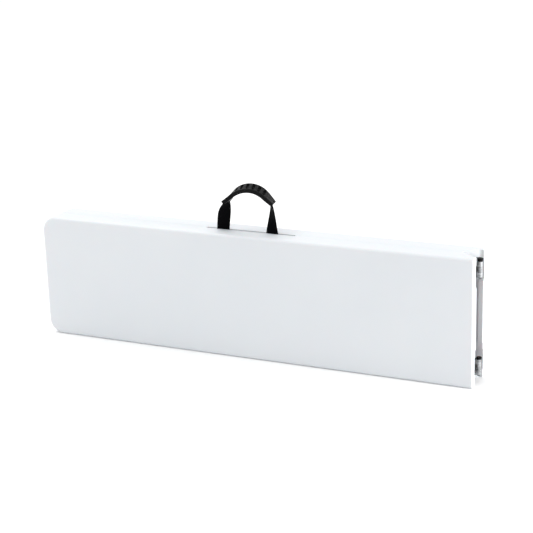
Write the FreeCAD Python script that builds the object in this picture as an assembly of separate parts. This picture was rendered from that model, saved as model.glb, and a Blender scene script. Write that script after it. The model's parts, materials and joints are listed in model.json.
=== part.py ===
"""Fold-in-half blow-moulded bench table, folded shut and standing on one long edge.

Frame: +X runs along the folded length towards the centre hinges, +Y from the front half to the
back half, +Z up. The origin is at the middle of the bottom edge. Lengths are millimetres.
"""
import FreeCAD, Part
import math
import os

from FreeCAD import Vector as V

# ---- driving dimensions -------------------------------------------------------------------
WIDTH = 250.0               # seat width, which stands upright when folded
HALF_LENGTH = 915.0         # one half, outer end to hinge end
HALF_THICK = 41.75          # one half, seat face to parting plane
PARTING_GAP = 0.3           # between the two closed halves
END_GAP = 0.25              # hinge end to hinge axis
SLAB = 18.0                 # double-walled panel
SKIRT = 14.0                # moulded rim round three sides
OUTER_CORNER_R = 30.0
HINGE_CORNER_R = 6.0
FACE_ROUND = 5.6            # rounding between seat face and edges
END_ROUND = 2.4             # the same at the hinge end, where the halves butt
TAPER_LENGTH = 36.0         # rim dies away towards the hinge end
TAPER_DEPTH = 16.0          # rim depth left at the hinge end
LIP_DEPTH = 21.0            # stiffening lip across the hinge end
LIP_SPAN = (70.0, 190.0)
LIP_THICK = 9.0
NOTCH_SPAN = (-99.8, 89.3)  # handle notch in the upper rim
NOTCH_DEPTH = 6.0

KNUCKLE_R = 4.5
PIN_R = 2.2
PIN_HEAD_R = 5.2
PIN_HEAD = {"upper": 6.0, "lower": 4.0}
HINGE_CLEAR = 0.05
LEAF = 2.0
LEAF_LENGTH = 44.0
HINGE_SPANS = ((15.0, 45.0), (205.0, 235.0))
HINGE_SCREW_FIRST = 26.0    # from the hinge axis
HINGE_SCREW_STEP = 10.0

RAIL_DEPTH = 18.0           # rail size across the thickness of the half
RAIL_HEIGHT = 14.0
RAIL_WALL = 1.5
RAIL_Z = (22.5, 227.5)
RAIL_Y = 14.5               # rail centre from the parting plane
RAIL_INSET = 26.0           # rail end from the outer end of the half

LEG_PIVOT_INSET = 55.0
LEG_Y = 12.1                # leg plane from the parting plane
LEG_R = 10.0
LEG_WALL = 1.4
LEG_Z = (42.0, 208.0)
LEG_LENGTH = 396.0
FOOT_BAR_AT = 378.0
FOOT_BAR_R = 8.0
CAP_R = 11.0
AXLE_R = 5.0

STRUT_R = 4.0
STRUT_AT = 160.0            # strut pivot along the leg
STRUT_LENGTH = 200.0
STRUT_Z = (62.0, 188.0)
CATCH_AT = 120.0            # crossbar seat from the leg pivot
CATCH_WIDTH = 30.0
CATCH_TILT = 15.5           # degrees, the way the crossbar comes in

STRAP_WIDTH = 25.5
STRAP_THICK = 1.6
STRAP_Y = -4.5
STRAP_X = (-63.4, 41.4)
STRAP_HINGE_Z = 250.4
GRIP_CENTRE = (-5.6, 292.0)  # centre of the arc, X and Z
GRIP_OUTER_R = 49.0
GRIP_BEND = 45.0            # degrees of arc each side of the crown
GRIP_TAIL = 24.0            # straight run beyond the arc
GRIP_DEPTH = 8.5
GRIP_WIDTH = 30.0
GRIP_YAW = 10.0             # degrees, how the soft webbing lets the grip sit askew
GRIP_ROUND = 3.2
CHANNEL_HALF = 1.2          # half the height of the webbing channel in the grip
GROOVE_COUNT = 6
GROOVE_PITCH = 14.0         # degrees
GROOVE_SHIFT = 4.7          # degrees from the crown to the middle of the row
GROOVE_SLANT = 5.0
GROOVE_HALF_WIDTH = 2.3
GROOVE_HALF_LENGTH = 10.0
GROOVE_DEPTH = 2.3
STRAP_SCREW_STEP = 7.0      # strap screws either side of the webbing's middle
PLATE_THICK = 1.4

STUD_Z = (70.0, 180.0)
STUD_R = 2.6
STUD_REACH = 4.0

DIMPLE_ROWS = 3             # stiffening dimples moulded into the underside
DIMPLE_COLUMNS = 16
DIMPLE_STEP = (44.0, 48.0)  # along and across the half
DIMPLE_FIRST = (110.0, 77.0)
SCREW_R = 2.0

# ---- derived places -----------------------------------------------------------------------
MID_Z = WIDTH / 2
X_HINGE = (HALF_LENGTH + END_GAP - PIN_HEAD_R) / 2
X_END = X_HINGE - END_GAP
X_OUTER = X_END - HALF_LENGTH
SLAB_INNER = HALF_THICK - SLAB
LEG_X = X_OUTER + LEG_PIVOT_INSET
RAIL_FACE = RAIL_Y - RAIL_DEPTH / 2
CATCH_X = LEG_X + CATCH_AT
FRONT, BACK = -1, 1

os.makedirs("parts", exist_ok=True)


# ---- helpers ------------------------------------------------------------------------------
def save(name, *solids):
    """Writes one node, a single solid or a group of separate ones."""
    shape = solids[0] if len(solids) == 1 else Part.makeCompound(list(solids))
    shape.exportStep(f"parts/{name}.step")
    print(name, len(shape.Solids), round(shape.Volume), shape.isValid())


def block(x, y, z):
    """A box between pairs of limits, given in either order."""
    low = [min(pair) for pair in (x, y, z)]
    size = [abs(pair[1] - pair[0]) for pair in (x, y, z)]
    return Part.makeBox(*size, V(*low))


def rod(radius, start, end):
    """A round bar between two points."""
    along = V(*end) - V(*start)
    return Part.makeCylinder(radius, along.Length, V(*start), along)


def tube(radius, bore, start, end):
    """A round tube between two points."""
    return rod(radius, start, end).cut(rod(bore, start, end))


def ball(radius, centre):
    return Part.makeSphere(radius, V(*centre))


def fuse(first, *others):
    for other in others:
        first = first.fuse(other)
    return first.removeSplitter()


def polygon(points, push):
    """A prism from corner points, pushed along a vector."""
    corners = [V(*p) for p in points]
    return Part.Face(Part.makePolygon(corners + corners[:1])).extrude(V(*push))


def rounded_plan(x, z, radii, y, depth):
    """A plate in the XZ plane whose four corners have their own radii, grown along Y."""
    (x0, x1), (z0, z1) = x, z
    corners = [V(x0, y, z0), V(x1, y, z0), V(x1, y, z1), V(x0, y, z1)]
    edges, last = [], None
    first = None
    for i, corner in enumerate(corners):
        radius = radii[i]
        before = (corners[i - 1] - corner).normalize()
        after = (corners[(i + 1) % 4] - corner).normalize()
        start, end = corner + before * radius, corner + after * radius
        middle = corner + (before + after) * (radius * (1 - math.sqrt(0.5)))
        if last is not None:
            edges.append(Part.LineSegment(last, start).toShape())
        first = first or start
        edges.append(Part.Arc(start, middle, end).toShape())
        last = end
    edges.append(Part.LineSegment(last, first).toShape())
    return Part.Face(Part.Wire(edges)).extrude(V(0, depth, 0))


def flat_at(edge, y):
    """True for an edge that lies in the plane of constant Y."""
    return abs(edge.BoundBox.YMin - y) < 1e-3 and edge.BoundBox.YLength < 1e-3


def screw(x, y, z, side, length=9.0, head=4.0, rise=1.4):
    """A pan-head screw driven away from the parting plane, its head resting at y."""
    out = V(0, side, 0)
    seat = V(x, y, z)
    shank = Part.makeCylinder(SCREW_R, length, seat, out)
    pan = Part.makeCylinder(head, rise, seat - out * rise, out)
    recess = Part.makeCylinder(1.3, 0.8, seat - out * (rise + 0.1), out)
    return shank.fuse(pan).cut(recess)


def hole(x, y, z, side, length=9.2, radius=SCREW_R):
    """The hole that a screw threads into, sized to its shank."""
    return Part.makeCylinder(radius, length, V(x, y, z), V(0, side, 0))


# ---- moulded halves -----------------------------------------------------------------------
def rail_screw_xs():
    first, last = X_OUTER + 90.0, X_END - 110.0
    return [first + (last - first) * i / 4 for i in range(5)]


def rim_profile(side):
    """The rim seen from above: full depth, then dying away towards the hinge end."""
    face = side * (HALF_THICK - TAPER_DEPTH + 1)
    meet = side * PARTING_GAP / 2
    end = side * (HALF_THICK - TAPER_DEPTH)
    bend = X_END - TAPER_LENGTH
    return [
        (X_OUTER - 1, face, 0),
        (X_OUTER - 1, meet, 0),
        (bend, meet, 0),
        (X_END - 8, side * (HALF_THICK - TAPER_DEPTH - 3), 0),
        (X_END + 1, end, 0),
        (X_END + 1, face, 0),
    ]


def dimple_places():
    """Staggered rows, left out where the catch and the hinge end need a plain panel."""
    places = []
    for row in range(DIMPLE_ROWS):
        for column in range(DIMPLE_COLUMNS):
            x = X_OUTER + DIMPLE_FIRST[0] + (column + (row % 2) / 2) * DIMPLE_STEP[0]
            near_catch = abs(x - CATCH_X) < 32 and row == 1
            if not near_catch and x <= X_END - 130:
                places.append((x, DIMPLE_FIRST[1] + row * DIMPLE_STEP[1]))
    return places


def shell(side):
    """One blow-moulded half: panel, rim on three sides, hinge-end lip, notch and dimples."""
    outer_y = side * HALF_THICK
    plan = rounded_plan(
        (X_OUTER, X_END + 30),
        (0, WIDTH),
        (OUTER_CORNER_R, HINGE_CORNER_R, HINGE_CORNER_R, OUTER_CORNER_R),
        outer_y,
        -side * (HALF_THICK - PARTING_GAP / 2),
    )
    body = plan.makeFillet(FACE_ROUND, [e for e in plan.Edges if flat_at(e, outer_y)])
    body = body.common(block((X_OUTER - 1, X_END), (side * 60, 0), (-1, WIDTH + 1)))
    end_edges = [
        e for e in body.Edges
        if e.BoundBox.XMin > X_END - 1e-3 and abs(e.BoundBox.YMin) + abs(e.BoundBox.YMax) > 2 * PARTING_GAP
    ]
    body = body.makeFillet(END_ROUND, end_edges)
    inner = rounded_plan(
        (X_OUTER + SKIRT, X_END + 20),
        (SKIRT, WIDTH - SKIRT),
        (OUTER_CORNER_R - SKIRT, 1, 1, OUTER_CORNER_R - SKIRT),
        side * SLAB_INNER,
        -side * 40,
    )
    body = body.cut(inner)
    keep = polygon(rim_profile(side), (0, 0, WIDTH))
    slab = block((X_OUTER - 1, X_END + 1), (side * 60, side * SLAB_INNER), (0, WIDTH))
    body = body.common(fuse(keep, slab))
    lip = block((X_END - LIP_THICK, X_END), (side * SLAB_INNER, side * (HALF_THICK - LIP_DEPTH)), LIP_SPAN)
    body = body.fuse(lip)
    for z in (SKIRT + 22, WIDTH - SKIRT - 22):
        pocket = block((X_END - 26, X_END + 1), (side * 26.5, side * 20), (z - 20, z + 20))
        body = body.cut(pocket)
    if side == FRONT:
        notch = block(NOTCH_SPAN, (-NOTCH_DEPTH, 1), (WIDTH - SKIRT - 1, WIDTH + 1))
        body = body.cut(notch)
    for x, z in dimple_places():
        dimple = Part.makeCone(8, 5, 7, V(x, side * (SLAB_INNER - 0.01), z), V(0, side, 0))
        body = body.cut(dimple)
    for x in rail_screw_xs():
        for z in RAIL_Z:
            body = body.cut(hole(x, side * (SLAB_INNER - 0.5), z, side, 13))
    for z in (MID_Z - 11, MID_Z + 11):
        body = body.cut(hole(CATCH_X + 13, side * (SLAB_INNER - 0.5), z, side, 11))
    for z in STUD_Z:
        if side == BACK:
            body = body.cut(Part.makeCylinder(3.2, 9, V(X_OUTER + SKIRT / 2, 0, z), V(0, 1, 0)))
        else:
            body = body.cut(Part.makeCylinder(SCREW_R, 10, V(X_OUTER + SKIRT / 2, 0, z), V(0, -1, 0)))
    return body


# ---- rails --------------------------------------------------------------------------------
def rail(side, z):
    """A box-section rail with holes for the leg axle, the panel screws and the hinge screws."""
    x = (X_OUTER + RAIL_INSET, X_END - 9)
    y = (side * RAIL_FACE, side * (RAIL_FACE + RAIL_DEPTH))
    outside = block(x, y, (z - RAIL_HEIGHT / 2, z + RAIL_HEIGHT / 2))
    wall = RAIL_WALL
    inside = block(
        x,
        (y[0] + side * wall, y[1] - side * wall),
        (z - RAIL_HEIGHT / 2 + wall, z + RAIL_HEIGHT / 2 - wall),
    )
    body = outside.cut(inside)
    body = body.cut(rod(AXLE_R + 0.1, (LEG_X, side * LEG_Y, z - 20), (LEG_X, side * LEG_Y, z + 20)))
    for sx in rail_screw_xs():
        body = body.cut(hole(sx, side * RAIL_FACE, z, side, RAIL_DEPTH))
        body = body.cut(hole(sx, side * (RAIL_FACE - 1), z, side, 4, 4.2))
    for sx in hinge_screw_xs():
        body = body.cut(hole(sx, side * (RAIL_FACE - 1), z, side, 5))
    if side == FRONT and z > MID_Z:
        for sx in STRAP_X:
            for dx in (-STRAP_SCREW_STEP, STRAP_SCREW_STEP):
                body = body.cut(hole(sx + dx, -(RAIL_FACE - 1), z, side, 5))
    return body


def rail_plug(side, z, x, way):
    """A push-in end plug for a rail."""
    wall = RAIL_WALL + 0.1
    y = (side * RAIL_FACE, side * (RAIL_FACE + RAIL_DEPTH))
    half = RAIL_HEIGHT / 2
    cap = block((x, x + way * 2), y, (z - half, z + half))
    stem = block(
        (x, x - way * 12),
        (y[0] + side * wall, y[1] - side * wall),
        (z - half + wall, z + half - wall),
    )
    return cap.fuse(stem)


def panel_screw(side, x, z):
    """A screw through the far wall of the rail into the panel, its head inside the rail."""
    seat = side * (RAIL_FACE + RAIL_DEPTH - RAIL_WALL)
    return screw(x, seat, z, side, 13.0, 3.8)


# ---- centre hinges ------------------------------------------------------------------------
def hinge_screw_xs():
    return [X_HINGE - HINGE_SCREW_FIRST - HINGE_SCREW_STEP * i for i in range(3)]


def knuckles(span, side):
    """The barrel is split in three: the front leaf owns the outer two, the back leaf the middle."""
    low, high = span
    third = (high - low) / 3
    if side == FRONT:
        return [(low, low + third - 0.2), (high - third + 0.2, high)]
    return [(low + third + 0.2, high - third - 0.2)]


def hinge_leaf(side, span):
    low, high = span
    leaf_y = (side * (RAIL_FACE - LEAF), side * RAIL_FACE)
    leaf = block((X_HINGE - LEAF_LENGTH - 6, X_HINGE - 6.5), leaf_y, (low, high))
    body = leaf
    for z0, z1 in knuckles(span, side):
        barrel = Part.makeCylinder(KNUCKLE_R, z1 - z0, V(X_HINGE, 0, z0))
        web = block((X_HINGE - 7, X_HINGE - 0.5), (side * RAIL_FACE, side * 2.8), (z0, z1))
        body = fuse(body, web, barrel)
    bore = Part.makeCylinder(PIN_R + HINGE_CLEAR, high - low + 2, V(X_HINGE, 0, low - 1))
    body = body.cut(bore)
    for z0, z1 in knuckles(span, -side):
        relief = Part.makeCylinder(KNUCKLE_R + 0.4, z1 - z0 + 0.4, V(X_HINGE, 0, z0 - 0.2))
        body = body.cut(relief)
    rail_z = min(RAIL_Z, key=lambda z: abs(z - (low + high) / 2))
    for x in hinge_screw_xs():
        body = body.cut(hole(x, side * (RAIL_FACE - LEAF - 1), rail_z, side, 6))
    return body


def hinge_pin(span, head_size):
    """A capped pin: the cap is above the barrel and a peened washer closes the foot."""
    low, high = span
    shank = Part.makeCylinder(PIN_R, high - low + 3, V(X_HINGE, 0, low - 1.6))
    head = Part.makeCylinder(PIN_HEAD_R, head_size, V(X_HINGE, 0, high + 0.4))
    foot = Part.makeCylinder(KNUCKLE_R - 1, 1.4, V(X_HINGE, 0, low - 1.7))
    crown = [e for e in head.Edges if abs(e.BoundBox.ZMin - head.BoundBox.ZMax) < 1e-3]
    head = head.makeFillet(1.2, crown)
    return fuse(shank, head, foot)


# ---- legs ---------------------------------------------------------------------------------
def leg_uprights(side):
    """Two bored tubes, closed to each other by the pivot tube and the foot bar."""
    y = side * LEG_Y
    tubes = []
    for z in LEG_Z:
        upright = tube(LEG_R, LEG_R - LEG_WALL, (LEG_X, y, z), (LEG_X + LEG_LENGTH, y, z))
        upright = upright.cut(rod(AXLE_R + 0.08, (LEG_X, y, z - 20), (LEG_X, y, z + 20)))
        foot_x = LEG_X + FOOT_BAR_AT
        upright = upright.cut(rod(FOOT_BAR_R, (foot_x, y, z), (foot_x, y, MID_Z)))
        pin_x = LEG_X + STRUT_AT
        upright = upright.cut(rod(STRUT_R + 0.08, (pin_x, y, z), (pin_x, y, MID_Z)))
        heel = fuse(
            Part.makeCylinder(LEG_R, 2 * LEG_R, V(LEG_X, y, z - LEG_R)),
            block((LEG_X, LEG_X + LEG_R), (y - LEG_R, y + LEG_R), (z - LEG_R, z + LEG_R)),
        )
        rest = block((LEG_X + LEG_R, LEG_X + 500), (y - 20, y + 20), (z - 20, z + 20))
        tubes.append(upright.common(fuse(heel, rest)))
    return tubes


def pivot_tube(side):
    """A spacer on the axle that keeps the uprights apart."""
    y = side * LEG_Y
    low, high = LEG_Z[0] + LEG_R + 0.2, LEG_Z[1] - LEG_R - 0.2
    return tube(8.0, AXLE_R + 0.08, (LEG_X, y, low), (LEG_X, y, high))


def foot_bar(side):
    y = side * LEG_Y
    x = LEG_X + FOOT_BAR_AT
    return tube(FOOT_BAR_R, FOOT_BAR_R - 1.2, (x, y, LEG_Z[0] + 2), (x, y, LEG_Z[1] - 2))


def foot_cap(side, z):
    """A moulded foot over the end of an upright, with a domed sole."""
    y = side * LEG_Y
    x = LEG_X + LEG_LENGTH
    cap = rod(CAP_R, (x - 7, y, z), (x + 3, y, z))
    sole = [e for e in cap.Edges if abs(e.BoundBox.XMin - (x + 3)) < 1e-3]
    return cap.makeFillet(2.0, sole).cut(rod(LEG_R, (x - 8, y, z), (x, y, z)))


def axle(side):
    y = side * LEG_Y
    return rod(AXLE_R, (LEG_X, y, RAIL_Z[0] - 7.4), (LEG_X, y, RAIL_Z[1] + 7.4))


def bushing(side, z, way):
    """A nylon washer between rail and upright."""
    y = side * LEG_Y
    rail_side = z + way * RAIL_HEIGHT / 2
    return tube(8.5, AXLE_R, (LEG_X, y, rail_side + way * 0.15), (LEG_X, y, rail_side + way * 2.3))


def strut(side):
    """A wire U: two pins into the uprights, two arms and a crossbar."""
    y = side * LEG_Y
    x0, x1 = LEG_X + STRUT_AT, LEG_X + STRUT_AT + STRUT_LENGTH
    low, high = STRUT_Z
    solids = [
        rod(STRUT_R, (x0, y, LEG_Z[0] + LEG_R - 3), (x0, y, low)),
        rod(STRUT_R, (x0, y, high), (x0, y, LEG_Z[1] - LEG_R + 3)),
        rod(STRUT_R, (x0, y, low), (x1, y, low)),
        rod(STRUT_R, (x0, y, high), (x1, y, high)),
        rod(STRUT_R, (x1, y, low), (x1, y, high)),
    ]
    solids += [ball(STRUT_R, (x, y, z)) for x in (x0, x1) for z in (low, high)]
    return fuse(*solids)


def catch(side):
    """A moulded hook on the panel that the strut's crossbar slides into, under a tilted roof."""
    y = side * LEG_Y
    half = CATCH_WIDTH / 2
    low, high = MID_Z - half, MID_Z + half
    body = block((CATCH_X - 12, CATCH_X + 20), (side * SLAB_INNER, y - side * 8.6), (low, high))
    tilt = math.radians(CATCH_TILT)
    mouth = STRUT_R + 0.4
    dx, dy = math.cos(tilt), -side * math.sin(tilt)
    slot = rod(mouth, (CATCH_X, y, low - 1), (CATCH_X, y, high + 1))
    across = (side * mouth * math.sin(tilt), mouth * math.cos(tilt))
    reach = 60
    corners = [
        (CATCH_X + across[0], y + across[1], low - 1),
        (CATCH_X + across[0] + reach * dx, y + across[1] + reach * dy, low - 1),
        (CATCH_X - across[0] + reach * dx, y - across[1] + reach * dy, low - 1),
        (CATCH_X - across[0], y - across[1], low - 1),
    ]
    body = body.cut(slot).cut(polygon(corners, (0, 0, CATCH_WIDTH + 2)))
    step = block((CATCH_X + 8.8, CATCH_X + 21), (side * (SLAB_INNER - 3), -side * 5), (low, high))
    body = body.cut(step)
    for z in (MID_Z - 11, MID_Z + 11):
        body = body.cut(hole(CATCH_X + 13, side * (SLAB_INNER - 4), z, side, 6))
    return body


# ---- handle -------------------------------------------------------------------------------
def grip_end(way, depth):
    """A point on the grip's end face, before it is turned askew; depth is below the outer face."""
    bend = math.radians(GRIP_BEND)
    radius = GRIP_OUTER_R - depth
    x = radius * math.sin(bend) + GRIP_TAIL * math.cos(bend)
    z = radius * math.cos(bend) - GRIP_TAIL * math.sin(bend)
    return V(GRIP_CENTRE[0] + way * x, STRAP_Y, GRIP_CENTRE[1] + z)


def askew(shape):
    """Turns a handle shape or point about the upright line through the grip's middle."""
    if isinstance(shape, V):
        middle = V(GRIP_CENTRE[0], STRAP_Y, 0)
        return middle + FreeCAD.Rotation(V(0, 0, 1), GRIP_YAW).multVec(shape - middle)
    shape.rotate(V(GRIP_CENTRE[0], STRAP_Y, 0), V(0, 0, 1), GRIP_YAW)
    return shape


def strap_sections(x, way):
    """Webbing sections from flat against the notch to edge-on below the grip's end."""
    foot = V(x, STRAP_Y, STRAP_HINGE_Z + 0.8)
    top = askew(grip_end(way, GRIP_DEPTH / 2))
    top.z = grip_end(way, GRIP_DEPTH).z - 0.4
    turn = math.radians(90 + GRIP_YAW if way < 0 else GRIP_YAW - 90)
    half, thick = STRAP_WIDTH / 2, STRAP_THICK / 2
    wires = []
    for i in range(7):
        t = i / 6
        angle = turn * (3 * t * t - 2 * t ** 3)
        centre = foot + (top - foot) * t
        c, s = math.cos(angle), math.sin(angle)
        corners = []
        for u, v in ((-half, -thick), (half, -thick), (half, thick), (-half, thick)):
            corners.append(centre + V(u * c - v * s, u * s + v * c, 0))
        wires.append(Part.makePolygon(corners + corners[:1]))
    return wires


def strap_riser(x, way):
    return Part.makeLoft(strap_sections(x, way), True, True)


def strap_root(x):
    """The end of the webbing, flat on the rail and up through the notch."""
    half = STRAP_WIDTH / 2
    y = (STRAP_Y - STRAP_THICK / 2, STRAP_Y + STRAP_THICK / 2)
    body = block((x - half, x + half), y, (RAIL_Z[1] - 6.5, STRAP_HINGE_Z - 0.8))
    for dx in (-STRAP_SCREW_STEP, STRAP_SCREW_STEP):
        body = body.cut(hole(x + dx, 1, RAIL_Z[1], FRONT, 12))
    return body


def strap_plate(x):
    y0 = STRAP_Y + STRAP_THICK / 2
    body = block((x - 13, x + 13), (y0, y0 + PLATE_THICK), (RAIL_Z[1] - 5.5, RAIL_Z[1] + 5.5))
    for dx in (-STRAP_SCREW_STEP, STRAP_SCREW_STEP):
        body = body.cut(hole(x + dx, 1, RAIL_Z[1], FRONT, 12))
    return body


def bent_bar(depth_from, depth_to, half_width, tail):
    """A bar that follows the grip: an arc with a straight tail at each end."""
    bend = math.radians(GRIP_BEND)
    cx, cz = GRIP_CENTRE

    def at(radius, angle, run=0.0):
        way = math.copysign(1, angle) if run else 0
        x = radius * math.sin(angle) + way * run * math.cos(angle)
        z = radius * math.cos(angle) - abs(way) * run * math.sin(abs(angle))
        return V(cx + x, STRAP_Y - half_width, cz + z)

    outer, inner = GRIP_OUTER_R - depth_from, GRIP_OUTER_R - depth_to
    edges = [
        Part.Arc(at(outer, -bend), at(outer, 0), at(outer, bend)).toShape(),
        Part.LineSegment(at(outer, bend), at(outer, bend, tail)).toShape(),
        Part.LineSegment(at(outer, bend, tail), at(inner, bend, tail)).toShape(),
        Part.LineSegment(at(inner, bend, tail), at(inner, bend)).toShape(),
        Part.Arc(at(inner, bend), at(inner, 0), at(inner, -bend)).toShape(),
        Part.LineSegment(at(inner, -bend), at(inner, -bend, tail)).toShape(),
        Part.LineSegment(at(inner, -bend, tail), at(outer, -bend, tail)).toShape(),
        Part.LineSegment(at(outer, -bend, tail), at(outer, -bend)).toShape(),
    ]
    return Part.Face(Part.Wire(edges)).extrude(V(0, 2 * half_width, 0))


def grip():
    """A moulded grip with rounded long edges, a webbing channel and cross grooves on top."""
    cx, cz = GRIP_CENTRE
    body = bent_bar(0, GRIP_DEPTH, GRIP_WIDTH / 2, GRIP_TAIL)
    rims = [e for e in body.Edges if e.BoundBox.YLength < 1e-3 and e.Length > GRIP_DEPTH + 1]
    body = body.makeFillet(GRIP_ROUND, rims)
    middle = GRIP_DEPTH / 2
    channel = bent_bar(middle - CHANNEL_HALF, middle + CHANNEL_HALF, STRAP_WIDTH / 2 + 0.4, GRIP_TAIL + 2)
    body = body.cut(channel)
    for i in range(GROOVE_COUNT):
        degrees = GROOVE_SHIFT + (i - (GROOVE_COUNT - 1) / 2) * GROOVE_PITCH
        angle = math.radians(degrees)
        groove = block(
            (-GROOVE_HALF_WIDTH, GROOVE_HALF_WIDTH),
            (-GROOVE_HALF_LENGTH, GROOVE_HALF_LENGTH),
            (-GROOVE_DEPTH, 3.0),
        )
        groove.rotate(V(0, 0, 0), V(0, 0, 1), GROOVE_SLANT)
        groove.rotate(V(0, 0, 0), V(0, 1, 0), degrees)
        at = V(cx + GRIP_OUTER_R * math.sin(angle), STRAP_Y, cz + GRIP_OUTER_R * math.cos(angle))
        groove.translate(at)
        body = body.cut(groove)
    return askew(body)


def strap_core():
    """The stretch of webbing inside the grip."""
    middle, half = GRIP_DEPTH / 2, STRAP_THICK / 2
    return askew(bent_bar(middle - half, middle + half, STRAP_WIDTH / 2, GRIP_TAIL - 1))


# ---- closing studs at the outer end ---------------------------------------------------------
def closing_stud(z):
    """A stud on the front rim with a soft head that enters the socket in the back rim."""
    x = X_OUTER + SKIRT / 2
    shank = rod(SCREW_R, (x, -10, z), (x, 0, z))
    neck = rod(STUD_R, (x, -PARTING_GAP / 2, z), (x, STUD_REACH, z))
    head = fuse(neck, ball(STUD_R, (x, STUD_REACH, z)))
    return fuse(shank, head)


# ---- assembly -------------------------------------------------------------------------------
def build():
    for side, half in ((FRONT, "front"), (BACK, "back")):
        save(f"{half}_shell", shell(side))
        for z, level in zip(RAIL_Z, ("lower", "upper")):
            save(f"{half}_{level}_rail", rail(side, z))
        plugs, screws = [], []
        for z in RAIL_Z:
            plugs.append(rail_plug(side, z, X_OUTER + RAIL_INSET, -1))
            plugs.append(rail_plug(side, z, X_END - 9, 1))
            screws += [panel_screw(side, x, z) for x in rail_screw_xs()]
        save(f"{half}_rail_plugs", *plugs)
        save(f"{half}_panel_screws", *screws)
        uprights = leg_uprights(side)
        save(f"{half}_leg_lower_upright", uprights[0])
        save(f"{half}_leg_upper_upright", uprights[1])
        save(f"{half}_leg_pivot_tube", pivot_tube(side))
        save(f"{half}_leg_foot_bar", foot_bar(side))
        save(f"{half}_leg_feet", *[foot_cap(side, z) for z in LEG_Z])
        save(f"{half}_leg_axle", axle(side))
        save(f"{half}_leg_bushings", bushing(side, RAIL_Z[0], 1), bushing(side, RAIL_Z[1], -1))
        save(f"{half}_strut", strut(side))
        save(f"{half}_strut_catch", catch(side))
        seat = side * (SLAB_INNER - 3.0)
        catch_screws = [screw(CATCH_X + 13, seat, z, side, 10) for z in (MID_Z - 11, MID_Z + 11)]
        save(f"{half}_catch_screws", *catch_screws)
        hinge_screws = []
        for span, level in zip(HINGE_SPANS, ("lower", "upper")):
            save(f"{half}_{level}_hinge_leaf", hinge_leaf(side, span))
        for z in RAIL_Z:
            for x in hinge_screw_xs():
                hinge_screws.append(screw(x, side * (RAIL_FACE - LEAF), z, side, 6, 3.6, 1.2))
        save(f"{half}_hinge_screws", *hinge_screws)

    for span, level in zip(HINGE_SPANS, ("lower", "upper")):
        save(f"{level}_hinge_pin", hinge_pin(span, PIN_HEAD[level]))

    for x, name, way in zip(STRAP_X, ("left", "right"), (-1, 1)):
        save(f"{name}_handle_strap", strap_riser(x, way))
        save(f"{name}_strap_root", strap_root(x))
        save(f"{name}_strap_plate", strap_plate(x))
    save("handle_grip", grip())
    save("handle_strap_core", strap_core())
    plate_face = STRAP_Y + STRAP_THICK / 2 + PLATE_THICK
    strap_xs = [x + dx for x in STRAP_X for dx in (-STRAP_SCREW_STEP, STRAP_SCREW_STEP)]
    strap_screws = [screw(x, plate_face, RAIL_Z[1], FRONT, 6) for x in strap_xs]
    save("strap_screws", *strap_screws)

    save("closing_studs", *[closing_stud(z) for z in STUD_Z])


build()
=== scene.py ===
"""Looks of a fold-in-half moulded bench table, folded shut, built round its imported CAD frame."""
import json
import math

import bpy
from mathutils import Matrix, Vector


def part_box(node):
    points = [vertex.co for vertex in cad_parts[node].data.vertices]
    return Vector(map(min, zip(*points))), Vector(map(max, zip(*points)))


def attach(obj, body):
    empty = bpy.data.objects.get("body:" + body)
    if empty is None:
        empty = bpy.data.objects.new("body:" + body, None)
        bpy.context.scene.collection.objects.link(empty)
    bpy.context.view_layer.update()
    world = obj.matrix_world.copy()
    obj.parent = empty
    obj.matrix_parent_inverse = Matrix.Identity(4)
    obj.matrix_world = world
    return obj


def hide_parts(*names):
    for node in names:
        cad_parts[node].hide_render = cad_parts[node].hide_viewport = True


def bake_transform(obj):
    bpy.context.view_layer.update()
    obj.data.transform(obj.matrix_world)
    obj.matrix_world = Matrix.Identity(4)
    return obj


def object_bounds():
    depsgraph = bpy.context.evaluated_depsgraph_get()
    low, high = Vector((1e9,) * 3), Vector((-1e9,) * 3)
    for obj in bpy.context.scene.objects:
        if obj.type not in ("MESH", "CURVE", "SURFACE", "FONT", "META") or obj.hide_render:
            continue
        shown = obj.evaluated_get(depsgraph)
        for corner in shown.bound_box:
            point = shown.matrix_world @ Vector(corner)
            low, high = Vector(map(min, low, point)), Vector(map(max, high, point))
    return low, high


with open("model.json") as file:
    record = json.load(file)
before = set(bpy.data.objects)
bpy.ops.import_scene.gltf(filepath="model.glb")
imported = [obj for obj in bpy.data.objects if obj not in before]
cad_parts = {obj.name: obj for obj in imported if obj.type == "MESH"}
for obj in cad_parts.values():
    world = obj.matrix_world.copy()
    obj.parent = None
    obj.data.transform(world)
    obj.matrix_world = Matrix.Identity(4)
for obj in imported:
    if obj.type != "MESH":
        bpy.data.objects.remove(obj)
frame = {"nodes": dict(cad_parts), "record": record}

CAD_LOW, CAD_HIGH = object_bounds()
MM = 0.001

# ---- camera, fitted to the photo: degrees, metres and a lens in millimetres ---------------------
AZIMUTH = 25.263
ELEVATION = 17.225
ROLL = -1.764
LENS_MM = 99.23
SENSOR_MM = 36.0
DISTANCE = 2.8914
PAN = (-0.0373, -0.1815)

# ---- light and floor: strengths, watts and metres -----------------------------------------------
WORLD_STRENGTH = 1.12         # what lights the object
BACKDROP_STRENGTH = 1.05      # what the camera sees behind it
TOP_LIGHT = {"place": (-1.5, 0.2, 2.4), "size": (2.2, 0.8), "power": 26}
SIDE_LIGHT = {"place": (2.4, 0.05, 0.6), "size": (0.4, 1.2), "power": 38}
FLOOR_HALF = 9.0

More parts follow.
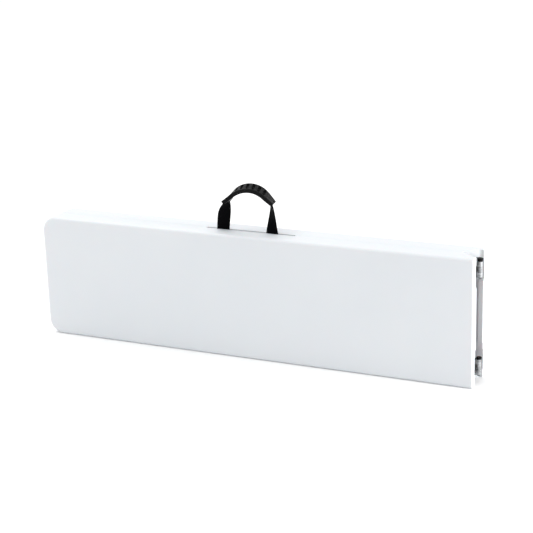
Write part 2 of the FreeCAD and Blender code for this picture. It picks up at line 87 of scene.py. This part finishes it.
# ---- grip: an arc between two straight tails, hollow at each end where the webbing goes in ------
GRIP_OUTER = 49.0 * MM                   # radius of the outer face
GRIP_BEND = math.radians(45)             # arc on each side of the crown
GRIP_TAIL = 24.0 * MM                    # straight run past the arc
GRIP_HALF_WIDTH = 15.0 * MM
GRIP_DEPTH = 8.5 * MM
GRIP_YAW = math.radians(10)              # turned askew in plan
GRIP_ROLL = math.radians(11)             # at the crown, near edge down
GRIP_END_ROLL = {                        # at the left and right ends, near edge up
    -1: math.radians(-13),
    1: math.radians(-5),
}
GRIP_END_THINNING = 0.14                 # share of the depth lost towards each end
GRIP_END_NARROWING = 0.05                # share of the width lost there
GRIP_CORNER = 2.6 * MM
GRIP_WALL = 1.6 * MM
GRIP_MOUTH = 10.0 * MM                   # depth of the hollow in each end
GRIP_LIP = 0.7 * MM                      # how far each end rounds over into its mouth
GRIP_TOP_BAND = 0.6 * MM                 # points this near the outer face take the grooves
GRIP_RINGS = 260
GRIP_POINTS = 132
GROOVES = 6
GROOVE_PITCH = 10.9 * MM
GROOVE_SHIFT = 3.7 * MM                  # the row's middle, to the right of the crown
GROOVE_HALF_WIDTH = 3.1 * MM
GROOVE_HALF_LENGTH = 11.5 * MM
GROOVE_DEPTH = 3.4 * MM
GROOVE_SLANT = math.tan(math.radians(5))
GROOVE_TIP_WIDTH = 0.35                  # share of the width left at a groove's tips
GROOVE_WALL_SLOPE = 2.6                  # above 1, the walls steepen and the floor is flat
GROOVE_TIP_SLOPE = 2.4
NOTCH_HALF_WIDTH = 5.0 * MM              # relief in the outer face at each end
NOTCH_LENGTH = 7.0 * MM
NOTCH_DEPTH = 3.0 * MM
NOTCH_SLOPE = 2.4

# ---- webbing ------------------------------------------------------------------------------------
WEB_WIDTH = 25.4 * MM
WEB_THICK = 1.5 * MM
WEB_EDGE = 0.1                # share of the thickness left at the rolled edges
WEB_RIBS = 9
WEB_RIB_HEIGHT = 0.16 * MM
WEB_THREAD_PITCH = 1.6 * MM
WEB_COLUMNS = 63
WEB_ROWS = 110
WEB_ROOT_ROWS = 26
WEB_LEAVE = 0.5               # how far the path is turned from its chord to upright at the case,
WEB_ARRIVE = 0.15             # and to the grip's own line at the grip
WEB_ENTRY_IN = 2.6 * MM       # where the webbing meets the grip: in from its end,
WEB_ENTRY_UNDER = 2.2 * MM    # towards its underside,
WEB_ENTRY_ASIDE = 2.5 * MM    # and towards the near side
WEB_HELD_AT = 7.0 * MM        # where it stops, in from the grip's end
WEB_TWISTS = {                # turn at the notch, turn at the grip, how late it gathers
    "left": (math.radians(10), math.radians(80), 1.0),
    "right": (math.radians(-2), math.radians(-58), -0.3),
}


def smooth(t):
    """Eases from 0 to 1."""
    t = min(max(t, 0.0), 1.0)
    return t * t * (3 - 2 * t)


# ---- materials ----------------------------------------------------------------------------------
class Nodes:
    """Short calls for building one material's node tree."""

    def __init__(self, name):
        self.material = bpy.data.materials.new(name)
        self.material.use_nodes = True
        self.tree = self.material.node_tree
        self.shader = self.tree.nodes["Principled BSDF"]
        self.coordinates = self.tree.nodes.new("ShaderNodeTexCoord")

    def add(self, kind, **values):
        node = self.tree.nodes.new("ShaderNode" + kind)
        for key, value in values.items():
            node.inputs[key.title()].default_value = value
        return node

    def link(self, out, into):
        self.tree.links.new(out, into)

    def stretched(self, scale):
        mapping = self.add("Mapping", scale=scale)
        self.link(self.coordinates.outputs["Object"], mapping.inputs["Vector"])
        return mapping.outputs["Vector"]

    def noise(self, scale, detail=3.0, stretch=(1, 1, 1), roughness=0.5):
        node = self.add("TexNoise", scale=scale, detail=detail, roughness=roughness)
        self.link(self.stretched(stretch), node.inputs["Vector"])
        return node.outputs["Fac"]

    def cells(self, scale):
        node = self.add("TexVoronoi", scale=scale)
        self.link(self.stretched((1, 1, 1)), node.inputs["Vector"])
        return node.outputs["Distance"]

    def ramp(self, factor, stops):
        """Two stops, each a place and a colour or a grey."""
        node = self.add("ValToRGB")
        for element, (place, colour) in zip(node.color_ramp.elements, stops):
            element.position = place
            element.color = (*colour, 1) if isinstance(colour, tuple) else (colour, colour, colour, 1)
        self.link(factor, node.inputs["Fac"])
        return node.outputs["Color"]

    def span(self, factor, low, high, start=0.3, end=0.7):
        """Maps start..end onto low..high."""
        node = self.add("MapRange")
        for key, value in (("From Min", start), ("From Max", end), ("To Min", low), ("To Max", high)):
            node.inputs[key].default_value = value
        self.link(factor, node.inputs["Value"])
        return node.outputs["Result"]

    def maths(self, operation, first, second=None):
        node = self.add("Math")
        node.operation = operation
        for value, socket in ((first, node.inputs[0]), (second, node.inputs[1])):
            if value is None:
                continue
            if isinstance(value, (int, float)):
                socket.default_value = value
            else:
                self.link(value, socket)
        return node.outputs[0]

    def mix(self, factor, first, second):
        node = self.tree.nodes.new("ShaderNodeMix")
        node.data_type = "RGBA"
        self.link(factor, node.inputs["Factor"])
        for value, socket in ((first, node.inputs["A"]), (second, node.inputs["B"])):
            if isinstance(value, tuple):
                socket.default_value = (*value, 1)
            else:
                self.link(value, socket)
        return node.outputs["Result"]

    def bump(self, height, strength, distance, below=None):
        node = self.add("Bump")
        node.inputs["Strength"].default_value = strength
        node.inputs["Distance"].default_value = distance
        self.link(height, node.inputs["Height"])
        if below is not None:
            self.link(below, node.inputs["Normal"])
        return node.outputs["Normal"]

    def finish(self, colour=None, rough=None, normal=None, **fixed):
        for value, key in ((colour, "Base Color"), (rough, "Roughness"), (normal, "Normal")):
            if value is not None:
                self.link(value, self.shader.inputs[key])
        for key, value in fixed.items():
            self.shader.inputs[key.replace("_", " ")].default_value = value
        return self.material


def edge_scuffs(n, reach):
    """Where the case has been stood down: broken marks that fade out above the resting edge."""
    separate = n.add("SeparateXYZ")
    n.link(n.coordinates.outputs["Object"], separate.inputs["Vector"])
    near = n.span(separate.outputs["Z"], 1.0, 0.0, 0.0, reach)
    broken = n.span(n.noise(60, 6, (1, 1, 3), 0.7), 0.0, 1.0, 0.56, 0.66)
    return n.maths("MULTIPLY", near, broken)


def moulded_plastic():
    n = Nodes("moulded_plastic")
    tone = n.ramp(n.noise(5, 3), ((0.3, (0.612, 0.636, 0.662)), (0.7, (0.634, 0.656, 0.679))))
    dust = n.maths("MULTIPLY", edge_scuffs(n, 10 * MM), 0.35)
    colour = n.mix(dust, tone, (0.56, 0.56, 0.55))
    fine = n.noise(1500, 2)
    pebble = n.cells(620)
    wave = n.noise(9, 1)
    normal = n.bump(wave, 0.10, 0.004)
    normal = n.bump(pebble, 0.16, 0.00025, normal)
    normal = n.bump(fine, 0.10, 0.0002, normal)
    rough = n.span(n.noise(38, 5), 0.42, 0.56)
    return n.finish(colour, rough, normal, Specular_IOR_Level=0.42, Subsurface_Weight=0.05)


def coated_steel():
    n = Nodes("coated_steel")
    tone = n.ramp(n.noise(30, 4), ((0.3, (0.150, 0.155, 0.162)), (0.7, (0.190, 0.196, 0.204))))
    normal = n.bump(n.noise(700, 3), 0.25, 0.0003)
    rough = n.span(n.noise(90, 4), 0.34, 0.52)
    return n.finish(tone, rough, normal, Metallic=0.35, Coat_Weight=0.25, Coat_Roughness=0.3)


def plated_steel(name, dark, light, rough_low, rough_high):
    n = Nodes(name)
    streak = n.noise(40, 5, (1, 1, 14))
    bloom = n.noise(160, 5)
    tone = n.ramp(n.maths("MULTIPLY", streak, bloom), ((0.12, dark), (0.42, light)))
    normal = n.bump(n.noise(300, 4, (1, 1, 10)), 0.22, 0.0002)
    rough = n.span(bloom, rough_low, rough_high)
    return n.finish(tone, rough, normal, Metallic=0.9)


def black_steel():
    n = Nodes("black_steel")
    tone = n.ramp(n.noise(240, 4), ((0.35, 0.002), (0.75, 0.008)))
    normal = n.bump(n.noise(900, 3), 0.3, 0.0002)
    return n.finish(tone, n.span(n.noise(200, 4), 0.35, 0.6), normal, Specular_IOR_Level=0.12)


def moulded_fitting(name, dark, light):
    n = Nodes(name)
    tone = n.ramp(n.noise(120, 4), ((0.3, dark), (0.7, light)))
    normal = n.bump(n.cells(900), 0.3, 0.0003)
    return n.finish(tone, n.span(n.noise(80, 4), 0.42, 0.62), normal, Specular_IOR_Level=0.25)


def grip_rubber():
    n = Nodes("grip_rubber")
    mottle = n.noise(520, 5, roughness=0.7)
    tone = n.ramp(mottle, ((0.36, (0.001, 0.001, 0.0013)), (0.66, (0.007, 0.007, 0.0078))))
    stipple = n.cells(950)
    normal = n.bump(stipple, 0.55, 0.0004)
    normal = n.bump(mottle, 0.35, 0.0003, normal)
    return n.finish(tone, n.span(n.noise(300, 4), 0.34, 0.52), normal, Specular_IOR_Level=0.07)


def webbing_material():
    """Ribbed polypropylene: chevron threads across each rib, and painted shade that darkens the valleys
    between ribs.
    """
    n = Nodes("webbing")
    separate = n.add("SeparateXYZ")
    n.link(n.coordinates.outputs["UV"], separate.inputs["Vector"])
    across, along = separate.outputs["X"], separate.outputs["Y"]
    rib = n.maths("ABSOLUTE", n.maths("SINE", n.maths("MULTIPLY", across, math.pi * WEB_RIBS)))
    slope = n.maths("MULTIPLY", n.maths("PINGPONG", n.maths("MULTIPLY", across, WEB_RIBS), 1.0), 2.2)
    thread_turns = n.maths("MULTIPLY", along, 2 * math.pi / WEB_THREAD_PITCH)
    thread = n.maths("SINE", n.maths("ADD", thread_turns, n.maths("MULTIPLY", slope, 3.0)))
    height = n.maths("ADD", n.maths("MULTIPLY", thread, 0.5), rib)
    fuzz = n.noise(1800, 3)
    # painted shade: the colour darkens in the valleys between ribs, mixed with random fuzz in the tone
    valley_shade_and_fuzz = n.maths("ADD", n.maths("MULTIPLY", rib, 0.7), n.maths("MULTIPLY", fuzz, 0.5))
    tone = n.ramp(valley_shade_and_fuzz, ((0.15, (0.0002, 0.0002, 0.0004)), (1.0, (0.0024, 0.0024, 0.003))))
    normal = n.bump(height, 0.8, 0.00022)
    normal = n.bump(fuzz, 0.3, 0.0002, normal)
    return n.finish(tone, n.span(fuzz, 0.55, 0.8), normal, Specular_IOR_Level=0.03)


MATERIALS = {
    "moulded_plastic": moulded_plastic(),
    "coated_steel": coated_steel(),
    "hinge_steel": plated_steel("hinge_steel", (0.26, 0.27, 0.28), (0.58, 0.59, 0.60), 0.34, 0.52),
    "zinc_steel": plated_steel("zinc_steel", (0.36, 0.37, 0.38), (0.62, 0.63, 0.64), 0.22, 0.4),
    "black_steel": black_steel(),
    "black_plastic": moulded_fitting("black_plastic", 0.006, 0.014),
    "nylon": moulded_fitting("nylon", 0.020, 0.045),
    "webbing": webbing_material(),
    "grip_rubber": grip_rubber(),
}


def dress_cad_nodes():
    """Gives every carried-over CAD node its procedural material."""
    slots = {entry["node"]: entry["material_slot"] for entry in frame["record"]["subparts"]}
    for name, node in frame["nodes"].items():
        node.data.materials.clear()
        node.data.materials.append(MATERIALS[slots[name]])


# ---- mesh helpers -------------------------------------------------------------------------------
def piece(name, points, faces, slot, body=None, uv=None):
    """A smooth mesh object in the frame, with its material, riding on a body if one is given."""
    mesh = bpy.data.meshes.new(name)
    mesh.from_pydata([tuple(p) for p in points], [], faces)
    mesh.update()
    for polygon in mesh.polygons:
        polygon.use_smooth = True
    if uv:
        layer = mesh.uv_layers.new(name="UVMap")
        for loop in mesh.loops:
            layer.data[loop.index].uv = uv[loop.vertex_index]
    mesh.materials.append(MATERIALS[slot])
    made = bpy.data.objects.new(name, mesh)
    bpy.context.scene.collection.objects.link(made)
    if body:
        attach(made, body)
    return made


def ring_faces(rings, points):
    """Quads between closed rings of points, in order."""
    faces = []
    for i in range(rings - 1):
        for j in range(points):
            k = (j + 1) % points
            faces.append((i * points + j, i * points + k, (i + 1) * points + k, (i + 1) * points + j))
    return faces


def rounded_section(half_width, half_depth, corner, count):
    """Points at even spacing round a rectangle with rounded corners, starting on the right side."""
    straight_w, straight_d = half_width - corner, half_depth - corner
    quarter = corner * math.pi / 2
    runs = []
    for cx, cy, start in ((1, 1, 0), (-1, 1, 90), (-1, -1, 180), (1, -1, 270)):
        side = 2 * (straight_w if start in (0, 180) else straight_d)
        runs.append(("arc", cx * straight_w, cy * straight_d, start, quarter))
        runs.append(("line", cx * straight_w, cy * straight_d, start + 90, side))
    total = sum(run[4] for run in runs)
    points = []
    for i in range(count):
        left = total * i / count
        for kind, x, y, angle, length in runs:
            if left <= length:
                break
            left -= length
        if kind == "arc":
            turn = math.radians(angle) + left / corner
            points.append((x + corner * math.cos(turn), y + corner * math.sin(turn)))
        else:
            out = math.radians(angle)
            way = out + math.pi / 2
            points.append((
                x + corner * math.cos(out) + left * math.cos(way),
                y + corner * math.sin(out) + left * math.sin(way),
            ))
    return points


# ---- grip ---------------------------------------------------------------------------------------
class Arch:
    """The grip's line: an arc with straight tails, turned askew, placed from the CAD grip's box."""

    def __init__(self):
        low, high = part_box("handle_grip")
        self.centre = Vector(((low.x + high.x) / 2, (low.y + high.y) / 2, high.z - GRIP_OUTER))
        self.middle = GRIP_OUTER - GRIP_DEPTH / 2
        self.reach = self.middle * GRIP_BEND + GRIP_TAIL
        self.turn = Matrix.Rotation(GRIP_YAW, 3, "Z")

    def angle(self, run):
        return max(-GRIP_BEND, min(GRIP_BEND, run / self.middle))

    def roll(self, run):
        """How far the section is rolled towards the near side, fading to each end's own roll."""
        end = GRIP_END_ROLL[-1 if run < 0 else 1]
        return GRIP_ROLL + (end - GRIP_ROLL) * (run / self.reach) ** 2

    def point(self, run, rise, across):
        """A place on the grip: run along its line from the crown, rise outwards, across its width."""
        c, s = math.cos(self.roll(run)), math.sin(self.roll(run))
        rise, across = rise * c + across * s, across * c - rise * s
        angle = self.angle(run)
        over = run - angle * self.middle
        radius = self.middle + rise
        x = radius * math.sin(angle) + over * math.cos(angle)
        z = radius * math.cos(angle) - over * math.sin(angle)
        return self.centre + self.turn @ Vector((x, across, z))

    def tangent(self, run):
        angle = self.angle(run)
        return self.turn @ Vector((math.cos(angle), 0, -math.sin(angle)))


def groove_depth(run, across):
    """How deep the cross grooves cut the crown of the grip at a point."""
    deepest = 0.0
    for i in range(GROOVES):
        at = (i - (GROOVES - 1) / 2) * GROOVE_PITCH
        off = abs(run - GROOVE_SHIFT - at + across * GROOVE_SLANT)
        end = max(0.0, 1 - (across / GROOVE_HALF_LENGTH) ** 2) ** 0.5
        width = GROOVE_HALF_WIDTH * (GROOVE_TIP_WIDTH + (1 - GROOVE_TIP_WIDTH) * end)
        wall, tip = (1 - off / width) * GROOVE_WALL_SLOPE, end * GROOVE_TIP_SLOPE
        deepest = max(deepest, GROOVE_DEPTH * smooth(wall) * smooth(tip))
    return deepest


def end_notch(arch, run, across):
    """How deep the thumbnail-shaped relief at each end cuts the outer face at a point."""
    inward = (arch.reach - abs(run)) / NOTCH_LENGTH
    aside = across / NOTCH_HALF_WIDTH
    return NOTCH_DEPTH * smooth(NOTCH_SLOPE * (1 - math.hypot(inward, aside)))


def grip_ring(arch, run, section, lining):
    """One section of the grip; a lining ring is inside a mouth and has no grooves."""
    towards_end = (abs(run) / arch.reach) ** 4
    thin = 1 - GRIP_END_THINNING * towards_end
    narrow = 1 - GRIP_END_NARROWING * towards_end
    ring = []
    for across, rise in section:
        cut = 0.0
        if rise > GRIP_DEPTH / 2 - GRIP_TOP_BAND and not lining:
            cut = max(groove_depth(run, across), end_notch(arch, run, across))
        ring.append(arch.point(run, rise * thin - cut, across * narrow))
    return ring


def make_grip(arch):
    """A grooved bar with a mouth in each end, where the webbing goes in."""
    section = rounded_section(GRIP_HALF_WIDTH, GRIP_DEPTH / 2, GRIP_CORNER, GRIP_POINTS)
    inner = rounded_section(
        GRIP_HALF_WIDTH - GRIP_WALL, GRIP_DEPTH / 2 - GRIP_WALL, GRIP_CORNER / 2, GRIP_POINTS
    )
    rim = [tuple((a + b) / 2 for a, b in zip(p, q)) for p, q in zip(section, inner)]
    first = -arch.reach + GRIP_LIP
    step = (2 * arch.reach - 2 * GRIP_LIP) / (GRIP_RINGS - 1)
    plan = [(-arch.reach + GRIP_MOUTH, inner), (-arch.reach + GRIP_LIP, inner), (-arch.reach, rim)]
    plan += [(first + step * i, section) for i in range(GRIP_RINGS)]
    plan += [(arch.reach, rim), (arch.reach - GRIP_LIP, inner), (arch.reach - GRIP_MOUTH, inner)]
    points = []
    for run, shape in plan:
        points += grip_ring(arch, run, shape, shape is not section)
    faces = ring_faces(len(plan), GRIP_POINTS)
    faces.append(tuple(range(GRIP_POINTS)))
    end = (len(plan) - 1) * GRIP_POINTS
    faces.append(tuple(range(end + GRIP_POINTS - 1, end - 1, -1)))
    grip = piece("grip", points, faces, "grip_rubber", "handle")
    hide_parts("handle_grip")


# ---- webbing ------------------------------------------------------------------------------------
def web_section():
    """Across the webbing: ribs on both faces and rolled edges, with a place across for each point."""
    half, thick = WEB_WIDTH / 2, WEB_THICK / 2
    upper, lower = [], []
    for i in range(WEB_COLUMNS):
        t = i / (WEB_COLUMNS - 1)
        across = -half + WEB_WIDTH * t
        rib = abs(math.sin(math.pi * WEB_RIBS * t)) * WEB_RIB_HEIGHT
        edge = min(t, 1 - t) * WEB_WIDTH / thick
        roll = math.sqrt(1 - max(0.0, 1 - edge) ** 2) * (1 - WEB_EDGE) + WEB_EDGE
        out = (thick - WEB_RIB_HEIGHT + rib) * roll
        upper.append((across, out, t))
        lower.append((across, -out, t))
    return upper + lower[::-1]


def web_rows(base, root_z, arch, way, twist):
    """Each row's centre, direction and width: up from the clamped root, then into the grip."""
    start, end, late = twist
    foot = Vector((base.x, base.y, root_z))
    upright = Vector((0, 0, 1))
    entry = arch.point(way * (arch.reach - WEB_ENTRY_IN), -WEB_ENTRY_UNDER, -WEB_ENTRY_ASIDE)
    inward = arch.tangent(way * arch.reach) * -way
    chord = entry - base
    leave = chord.lerp(upright * chord.length, WEB_LEAVE)
    arrive = chord.lerp(inward * chord.length, WEB_ARRIVE)

    def path(t):
        """A cubic curve from the notch to the grip."""
        a, b = 2 * t ** 3 - 3 * t ** 2 + 1, t ** 3 - 2 * t ** 2 + t
        c, d = 3 * t ** 2 - 2 * t ** 3, t ** 3 - t ** 2
        return base * a + leave * b + entry * c + arrive * d

    def turned(ahead, angle):
        """The width's direction: the case's own length, turned about the way ahead."""
        flat = Vector((1, 0, 0))
        return Matrix.Rotation(angle, 3, ahead) @ (flat - ahead * flat.dot(ahead)).normalized()

    nudge = 0.01
    rows = []
    for i in range(WEB_ROOT_ROWS):
        t = i / WEB_ROOT_ROWS
        rows.append((foot.lerp(base, t), upright, turned(upright, start * smooth(t))))
    for i in range(WEB_ROWS + 1):
        t = i / WEB_ROWS
        ahead = (path(min(1, t + nudge)) - path(max(0, t - nudge))).normalized()
        gathered = (1 - late) * t + late * t * t
        rows.append((path(t), ahead, turned(ahead, start + (end - start) * gathered)))
    held = way * (arch.reach - WEB_HELD_AT)
    width = (arch.point(held, 0, MM) - arch.point(held, 0, -MM)).normalized() * -way
    rows.append((arch.point(held, 0, 0), inward, width))
    return rows


def make_webbing(side, way, arch):
    """One length of webbing, from its clamped root through the notch and into the grip."""
    strap, root = f"{side}_handle_strap", f"{side}_strap_root"
    strap_low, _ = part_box(strap)
    root_low, root_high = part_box(root)
    base = Vector(((root_low.x + root_high.x) / 2, (root_low.y + root_high.y) / 2, strap_low.z))
    section = web_section()
    rows = web_rows(base, root_low.z, arch, way, WEB_TWISTS[side])
    points, uv = [], []
    travelled, last = 0.0, rows[0][0]
    for centre, ahead, width in rows:
        travelled += (centre - last).length
        last = centre
        depth = ahead.cross(width)
        for across, out, t in section:
            points.append(centre + width * across + depth * out)
            uv.append((t, travelled))
    count = len(section)
    faces = ring_faces(len(rows), count)
    faces.append(tuple(reversed(range(count))))
    end = (len(rows) - 1) * count
    faces.append(tuple(range(end, end + count)))
    web = piece(f"{side}_webbing", points, faces, "webbing", uv=uv)
    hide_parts(strap, root)
    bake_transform(web)


# ---- stage --------------------------------------------------------------------------------------
def floor_paper():
    n = Nodes("floor")
    tone = n.ramp(n.noise(3, 2), ((0.3, 0.900), (0.7, 0.915)))
    return n.finish(tone, Roughness=0.85, Specular_IOR_Level=0.1)


def make_floor():
    corners = [(x * FLOOR_HALF, y * FLOOR_HALF, CAD_LOW.z) for x, y in ((-1, -1), (1, -1), (1, 1), (-1, 1))]
    mesh = bpy.data.meshes.new("floor")
    mesh.from_pydata(corners, [], [(0, 1, 2, 3)])
    floor = bpy.data.objects.new("floor", mesh)
    mesh.materials.append(floor_paper())
    bpy.context.scene.collection.objects.link(floor)


def soft_light(name, aim, place, size, power):
    """A rectangular lamp that faces what it lights."""
    light = bpy.data.lights.new(name, "AREA")
    light.shape = "RECTANGLE"
    light.size, light.size_y = size
    light.energy = power
    lamp = bpy.data.objects.new(name, light)
    lamp.location = place
    lamp.rotation_euler = (Vector(aim) - Vector(place)).to_track_quat("-Z", "Y").to_euler()
    bpy.context.scene.collection.objects.link(lamp)


def make_lights():
    """An even white world with a slightly different backdrop for the camera, and two soft boxes."""
    world = bpy.data.worlds.new("studio")
    world.use_nodes = True
    tree = world.node_tree
    lighting = tree.nodes["Background"]
    lighting.inputs["Color"].default_value = (1.0, 1.0, 1.0, 1)
    lighting.inputs["Strength"].default_value = WORLD_STRENGTH
    backdrop = tree.nodes.new("ShaderNodeBackground")
    backdrop.inputs["Color"].default_value = (1.0, 1.0, 1.0, 1)
    backdrop.inputs["Strength"].default_value = BACKDROP_STRENGTH
    rays = tree.nodes.new("ShaderNodeLightPath")
    choose = tree.nodes.new("ShaderNodeMixShader")
    tree.links.new(rays.outputs["Is Camera Ray"], choose.inputs["Fac"])
    tree.links.new(lighting.outputs["Background"], choose.inputs[1])
    tree.links.new(backdrop.outputs["Background"], choose.inputs[2])
    tree.links.new(choose.outputs["Shader"], tree.nodes["World Output"].inputs["Surface"])
    bpy.context.scene.world = world
    middle = (CAD_LOW + CAD_HIGH) / 2
    hinge_end = Vector((CAD_HIGH.x, 0, middle.z))
    soft_light("top_softbox", middle, **TOP_LIGHT)
    soft_light("side_softbox", hinge_end, **SIDE_LIGHT)


def make_camera():
    """Places the camera by its angles about the near lower edge's middle, panned in its own plane."""
    a, e, r = (math.radians(v) for v in (AZIMUTH, ELEVATION, ROLL))
    back = Vector((math.sin(a) * math.cos(e), -math.cos(a) * math.cos(e), math.sin(e)))
    right = (-back).cross(Vector((0, 0, 1))).normalized()
    up = right.cross(-back)
    right, up = right * math.cos(r) + up * math.sin(r), up * math.cos(r) - right * math.sin(r)
    shell_low, shell_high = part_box("front_shell")
    aim = Vector(((shell_low.x + shell_high.x) / 2, shell_low.y, shell_low.z))
    place = aim + back * DISTANCE - right * PAN[0] - up * PAN[1]
    data = bpy.data.cameras.new("camera")
    data.lens = LENS_MM
    data.sensor_width = SENSOR_MM
    data.sensor_fit = "HORIZONTAL"
    camera = bpy.data.objects.new("camera", data)
    axes = Matrix((right, up, back)).transposed().to_4x4()
    camera.matrix_world = Matrix.Translation(place) @ axes
    bpy.context.scene.collection.objects.link(camera)
    bpy.context.scene.camera = camera


dress_cad_nodes()
grip_arch = Arch()
make_grip(grip_arch)
for side, way in (("left", -1), ("right", 1)):
    make_webbing(side, way, grip_arch)
make_floor()
make_lights()
make_camera()
bpy.context.scene.view_settings.view_transform = "Standard"
